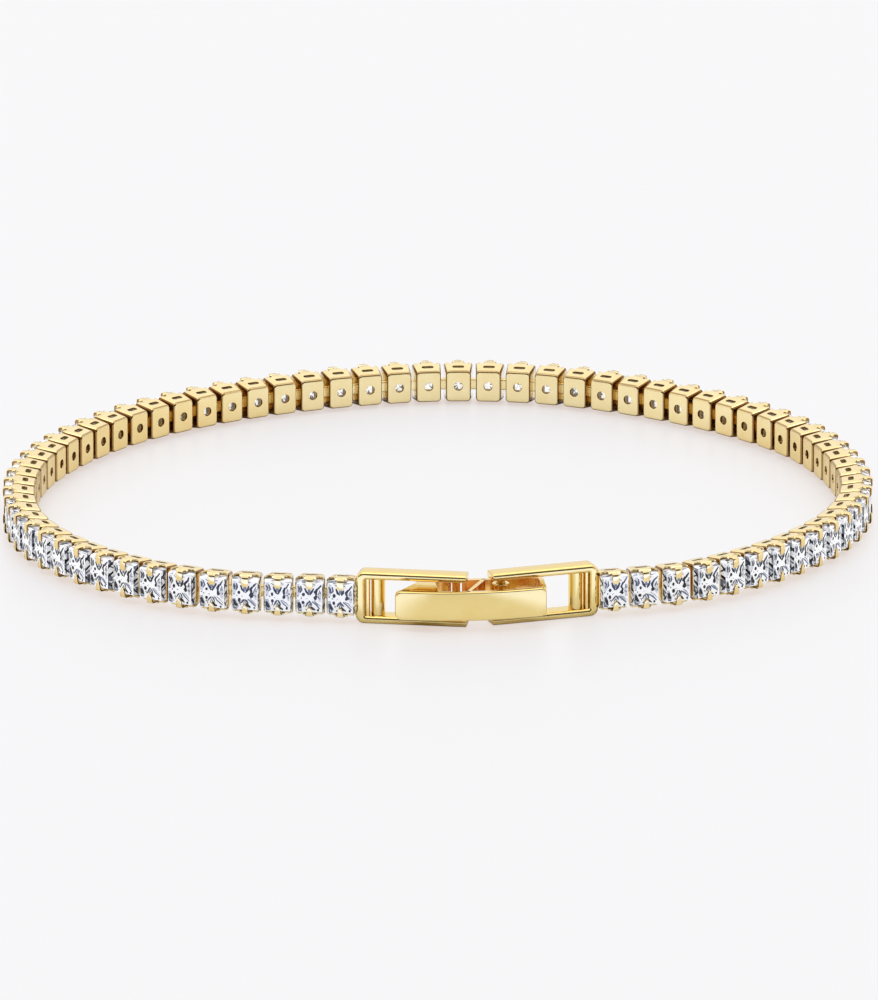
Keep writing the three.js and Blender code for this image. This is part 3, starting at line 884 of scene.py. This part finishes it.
def stationRings(outer, inner, halfDepth, edge, endRounding):
    # Rounded sections between an outer line and an inner line, drawn in X and Z and as deep as
    # halfDepth both ways in Y, with both ends rounded off
    columns = outlineColumns(2, 4)
    across = outer - inner
    thick = np.linalg.norm(across, axis=1)
    unit = across / thick[:, None]
    centre = (outer + inner) / 2

    def ring(k, inset=0.0, shift=(0.0, 0.0)):
        flat = outlineAt(columns, thick[k] / 2 - inset, halfDepth - inset, edge - inset)
        x = centre[k, 0] + shift[0] + unit[k, 0] * flat[:, 0]
        z = centre[k, 1] + shift[1] + unit[k, 1] * flat[:, 0]
        return np.stack([x, flat[:, 1], z], -1)

    def endRings(k, other):
        run = centre[k] - centre[other]
        run = run / np.linalg.norm(run) * endRounding
        return [ring(k, endRounding * (1 - np.cos(angle)), run * (np.sin(angle) - 1))
                for angle in np.radians([90, 60, 30])]

    between = [ring(k) for k in range(1, len(centre) - 1)]
    grid = np.stack(endRings(0, 1) + between + endRings(-1, -2)[::-1])
    return grid.reshape(-1, 3), cappedFaces(*grid.shape[:2])


def rodForm(x, radius, low, high, sides=28):
    angle = np.linspace(0, 2 * np.pi, sides, endpoint=False)
    return planForm(np.c_[x + radius * np.cos(angle), radius * np.sin(angle)], low, high)


def tubeForm(radius, bore, low, high, lip, sides=28):
    # Rings from the bore over the lower lip, up the outside and down the bore again
    angle = np.linspace(0, 2 * np.pi, sides, endpoint=False)
    profile = [(bore, low + lip), (bore + lip, low), (radius - lip, low), (radius, low + lip),
               (radius, high - lip), (radius - lip, high), (bore + lip, high), (bore, high - lip)]
    rings = [np.c_[r * np.cos(angle), r * np.sin(angle), np.full(sides, z)] for r, z in profile]
    return np.concatenate(rings), gridFaces(len(profile), sides, True, True).tolist()


def frameForm(length):
    # A U-shaped strip: two rails and an end wall, with the bend's outer arc and inner arc in step;
    # then the thin strip, the upright bar and the pin that stand between the rails
    top = clasp["height"]
    rail = clasp["rail"]
    wall = clasp["endWall"]
    big = clasp["corner"]
    small = clasp["innerCorner"]
    run = np.linspace(length, wall + small + clasp["bend"], 8)
    angle = np.radians(np.linspace(270, 180, 9))
    arc = np.c_[np.cos(angle), np.sin(angle)]
    outer = np.concatenate([np.c_[run, np.zeros(8)], (big, big) + big * arc])
    inner = np.concatenate([np.c_[run, np.full(8, rail)], (wall + small, rail + small) + small * arc])
    flip = np.array([1, -1])
    outer = np.concatenate([outer, outer[::-1] * flip + (0, top)])
    inner = np.concatenate([inner, inner[::-1] * flip + (0, top)])
    points, faces = stationRings(outer, inner, clasp["depth"] / 2, clasp["edge"], clasp["endEdge"])
    low = rail * 0.5
    high = top - low
    x0, x1 = clasp["strip"]
    thin = outlineAt(outlineColumns(2, 4), (x1 - x0) / 2, clasp["depth"] / 2 - clasp["stripInset"],
                     clasp["stripCorner"]) + ((x0 + x1) / 2, 0)
    u0, u1 = clasp["upright"]
    return [
        (points, flipped(faces)),
        planForm(thin, low, high),
        rodForm((u0 + u1) / 2, (u1 - u0) / 2, low, high, 36),
        rodForm(length - clasp["pinInset"], clasp["pin"] / 2, low, high),
    ]


def frameEnds(places, turns):
    # Where the two end walls stand, beside the first and the last link, and how long a frame is
    reach = setting["width"] / 2 + clasp["gap"]
    left = beside(places[-1], turns[-1], reach, -clasp["leftOutset"])[:2]
    right = beside(places[0], turns[0], -reach, -clasp["rightOutset"])[:2]
    span = right - left
    lean = math.atan2(span[1], span[0])
    share = math.cos(clasp["leftTurn"] - lean) + math.cos(clasp["rightTurn"] - lean)
    return left, right, (np.hypot(*span) - clasp["opening"]) / share


def plateFront(x):
    # The bowed front of the lever's plate: an arc whose ends stand back by the bow
    middle = lever["tail"] - lever["length"] / 2
    radius = (lever["length"] ** 2 / 4 + lever["bow"] ** 2) / (2 * lever["bow"])
    return radius - lever["front"] - np.sqrt(radius ** 2 - (x - middle) ** 2)


def plateForm():
    # Two sheets on one grid that fills a rounded rectangle. The grid's lines crowd towards the edge,
    # where the front sheet rounds off, and a strip of wall joins the two along the outline.
    half = lever["length"] / 2
    high = lever["height"] / 2
    corner = lever["corner"]
    edge = lever["edge"]
    near = np.array([0, 0.03, 0.12, 0.3, 0.55, 0.8, 1.0, 1.3]) * edge
    v = np.r_[-high + near, np.linspace(-high + 2 * edge, high - 2 * edge, 13), (high - near)[::-1]]
    u = np.r_[-half + near, np.linspace(-half + 2 * edge, half - 2 * edge, 49), (half - near)[::-1]] / half
    into = np.clip((np.abs(v) - (high - corner)) / corner, 0, 1)
    width = half - corner * (1 - np.sqrt(1 - into ** 2))
    x = u[:, None] * width[None]
    z = np.broadcast_to(v, x.shape)
    qx = np.abs(x) - (half - corner)
    qz = np.abs(z) - (high - corner)
    outside = np.hypot(np.maximum(qx, 0), np.maximum(qz, 0)) + np.minimum(np.maximum(qx, qz), 0)
    d = np.clip(corner - outside, 0, None)
    drop = edge - np.sqrt(np.clip(edge ** 2 - np.clip(edge - d, 0, edge) ** 2, 0, None))
    x = x + lever["tail"] - half
    front = plateFront(x) + drop + lever["crown"] * (z / high) ** 2
    back = plateFront(x) + lever["plate"] - 0.5 * drop
    sheets = [np.stack([x, y, z + clasp["height"] / 2], -1) for y in (front, back)]
    rows, columns = x.shape
    faces = gridFaces(rows, columns, False, False)
    count = rows * columns
    index = np.arange(count).reshape(rows, columns)
    rim = np.concatenate([index[:-1, 0], index[-1, :-1], index[:0:-1, -1], index[0, :0:-1]])
    ahead = np.roll(rim, -1)
    wall = np.stack([rim, ahead, ahead + count, rim + count], -1)
    points = np.concatenate([s.reshape(-1, 3) for s in sheets])
    return points, faces[:, ::-1].tolist() + (faces + count).tolist() + wall[:, ::-1].tolist()


def nosePlan(back):
    # The solid end of the lever, whose underside tapers to the plate
    nose = lever["tail"] - lever["length"]
    end = nose + lever["noseSolid"]
    x = np.linspace(nose + lever["noseStart"], end, 9)
    underPlate = np.c_[x, plateFront(x) + 0.3 * mm]
    wedge = np.array([(1.0, 1.0), (0.85, 0.4), (0.6, -0.2)]) * (lever["noseTaper"], back) + (nose, 0)
    return np.concatenate([underPlate, [(end, back)], wedge])


def backPlan(back, inner, lipEnd):
    # The back strip from the nose to the catch pin's gap, with a lip beside the gap
    start = lever["tail"] - lever["length"] + lever["noseSolid"] - 0.1 * mm
    gap = lever["catch"][0]
    foot = gap - lever["lipFoot"]
    return [(start, inner), (foot, inner), (foot, lipEnd), (gap - lever["lipTop"], lipEnd), (gap, inner),
            (gap, back), (start, back)]


def hookPlan(back, inner, lipEnd):
    # The strip from the gap back to the tail, where it bends round to the plate; first its outside
    tail = lever["tail"]
    thin = lever["backPlate"]
    bend = back / 2
    gap = lever["catch"][1]
    foot = plateFront(tail) + 0.2 * mm
    angle = np.radians(np.linspace(0, 90, 7))
    arc = np.c_[np.cos(angle), np.sin(angle)]
    outside = np.concatenate([[(tail, foot)], (tail - bend, back - bend) + bend * arc, [(gap, back)]])
    lip = [(gap - 0.16 * mm, lipEnd), (gap + 0.08 * mm, lipEnd), (gap + 0.12 * mm, inner)]
    innerArc = (tail - bend, back - bend) + (bend - thin) * arc[::-1]
    return np.concatenate([outside, lip, innerArc, [(tail - thin, foot)]]), len(outside)


def leverForms():
    # Everything behind the front plate, drawn in plan, with the sides of each plan that lie in the lever's
    # hollow and get its painted tint
    back = lever["back"]
    inner = back - lever["backPlate"]
    lipEnd = inner - lever["catchLip"]
    middle = back - lever["backPlate"] / 2
    low = (clasp["height"] - lever["height"]) / 2
    high = low + lever["height"]
    hook, inside = hookPlan(back, inner, lipEnd)
    half = lever["web"] / 2
    head = -lever["webReach"]
    foot = head - lever["webLean"]
    webFront = plateFront(foot) + lever["plate"] / 2
    web = [(foot - half, webFront), (foot + half, webFront), (head + half, middle), (head - half, middle)]
    bore = clasp["pin"] / 2 + lever["pinClearance"]
    barrel = bore + lever["barrelWall"]
    side = barrel / 2
    neck = [(-side, lever["neckFrom"]), (side, lever["neckFrom"]), (side, middle), (-side, middle)]
    plans = (
        (nosePlan(back), (8,)),
        (backPlan(back, inner, lipEnd), (0, 1, 2, 3)),
        (hook, np.arange(inside, len(hook) - 1)),
        (web, (0, 1, 2, 3)),
        (neck, (0, 1, 2, 3)),
    )
    forms = [planForm(plan, low, high, paintedFaces) for plan, paintedFaces in plans]
    inset = lever["barrelInset"]
    forms.append(tubeForm(barrel, bore, low + inset, high - inset, lever["barrelLip"]))
    return forms


def makeClasp(gold, places, turns):
    left, right, length = frameEnds(places, turns)
    rightTurn = clasp["rightTurn"] + math.pi
    for name, end, turn in (("left", left, clasp["leftTurn"]), ("right", right, rightTurn)):
        points, faces, _ = merged([placed(form, turn, (*end, 0)) for form in frameForm(length)])
        piece = newPiece("frame_" + name, points, faces, gold)
        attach(piece, "bracelet")
        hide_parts("clasp_frame_" + name)
    reach = length - clasp["pinInset"]
    hinge = right + reach * np.array([math.cos(rightTurn), math.sin(rightTurn)])
    turn = (clasp["leftTurn"] + clasp["rightTurn"]) / 2
    plate = newPiece("lever_plate", *placed(plateForm(), turn, (*hinge, 0)), gold)
    points, faces, paintedFaces = merged([placed(form, turn, (*hinge, 0)) for form in leverForms()])
    # the sides inside the lever's hollow carry the clasp's painted tint
    works = newPiece("lever_works", points, faces, gold, {"paintedShading": paintedFaces})
    bevel = works.modifiers.new("edges", "BEVEL")
    bevel.width = lever["softEdge"]
    bevel.segments = 3
    bevel.limit_method = "ANGLE"
    bevel.angle_limit = math.radians(40)
    for piece in (plate, works):
        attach(piece, "clasp_lever")
    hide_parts("clasp_lever")
    print("clasp: frame length", round(length / mm, 3), "hinge", np.round(hinge / mm, 3))


def setCamera():
    camera = bpy.data.cameras.new("camera")
    camera.sensor_fit = "HORIZONTAL"
    camera.sensor_width = view["sensor"]
    camera.lens = view["sensor"] * view["distance"] / view["frameWidth"]
    camera.clip_start = 0.05
    camera.clip_end = 20.0
    eye = bpy.data.objects.new("camera", camera)
    up = math.radians(view["elevation"])
    aim = np.array(view["aim"])
    eye.location = aim + view["distance"] * np.array([0, -math.cos(up), math.sin(up)])
    eye.rotation_euler = (math.pi / 2 - up, 0, 0)
    bpy.context.scene.collection.objects.link(eye)
    bpy.context.scene.camera = eye


def setStage():
    half = sheet["half"]
    corners = [(-half, -half, 0), (half, -half, 0), (half, half, 0), (-half, half, 0)]
    ground = newPiece("ground", corners, [(0, 1, 2, 3)], paperFloor())


def addLamp(name, place, side, power):
    # A square lamp that looks at the origin
    lamp = bpy.data.lights.new(name, "AREA")
    lamp.shape = "SQUARE"
    lamp.size = side
    lamp.energy = power
    holder = bpy.data.objects.new(name, lamp)
    holder.location = place
    x, y, z = place
    holder.rotation_euler = (math.atan2(math.hypot(x, y), z), 0, math.pi + math.atan2(-x, y))
    bpy.context.scene.collection.objects.link(holder)


def levelRamp(tree, height, stops):
    ramp = addNode(tree, "ShaderNodeValToRGB", {"Fac": height})
    elements = ramp.color_ramp.elements
    elements[0].position = stops[0][0]
    elements[1].position = stops[-1][0]
    for position, _ in stops[1:-1]:
        elements.new(position)
    for element, (_, level) in zip(elements, stops):
        element.color = (level, level, level, 1)
    return ramp.outputs["Color"]


def setLights():
    # Bright overhead, grey on the far side, and dark behind the camera up to half height
    world = bpy.data.worlds.new("studio")
    world.use_nodes = True
    tree = world.node_tree
    tree.nodes.clear()
    where = addNode(tree, "ShaderNodeTexCoord")
    parts = addNode(tree, "ShaderNodeSeparateXYZ", {"Vector": where.outputs["Generated"]})
    front = levelRamp(tree, parts.outputs["Z"], studio["front"])
    back = levelRamp(tree, parts.outputs["Z"], studio["back"])
    away = addNode(tree, "ShaderNodeMapRange", {"Value": parts.outputs["Y"]},
                   From_Min=studio["between"][0], From_Max=studio["between"][1])
    both = mixedColour(tree, away.outputs["Result"], front, back)
    background = addNode(tree, "ShaderNodeBackground", {"Color": both}, Strength=studio["strength"])
    addNode(tree, "ShaderNodeOutputWorld", {"Surface": background.outputs["Background"]})
    bpy.context.scene.world = world
    for lamp in studio["lamps"]:
        addLamp(*lamp)
    bpy.context.scene.cycles.max_bounces = 12
    bpy.context.scene.cycles.glossy_bounces = 10


setCamera()
setStage()
setLights()
# the third colour is the links' painted shade, a dark brown for hollows, gaps and edges
linkGold = goldPlate("gold_plate_links", colour="#fae7b2", deep="#f3d896", paintedShading="#7a4a15",
                     roughness=0.13, waviness=0.25)
# the third colour is the clasp's painted tint, a pale pink that lightens the lever's hollow where bounced
# light would come out deep brown
claspGold = goldPlate("gold_plate_clasp", colour="#efd58e", deep="#e8ca7c", paintedShading="#fbe2ca",
                      roughness=0.10, waviness=0.10)
linkAt, linkTurn = linkPlaces()
makeChain(linkGold, cutStone(), linkAt, linkTurn)
makeClasp(claspGold, linkAt, linkTurn)

bpy.context.scene.view_settings.view_transform = "Standard"
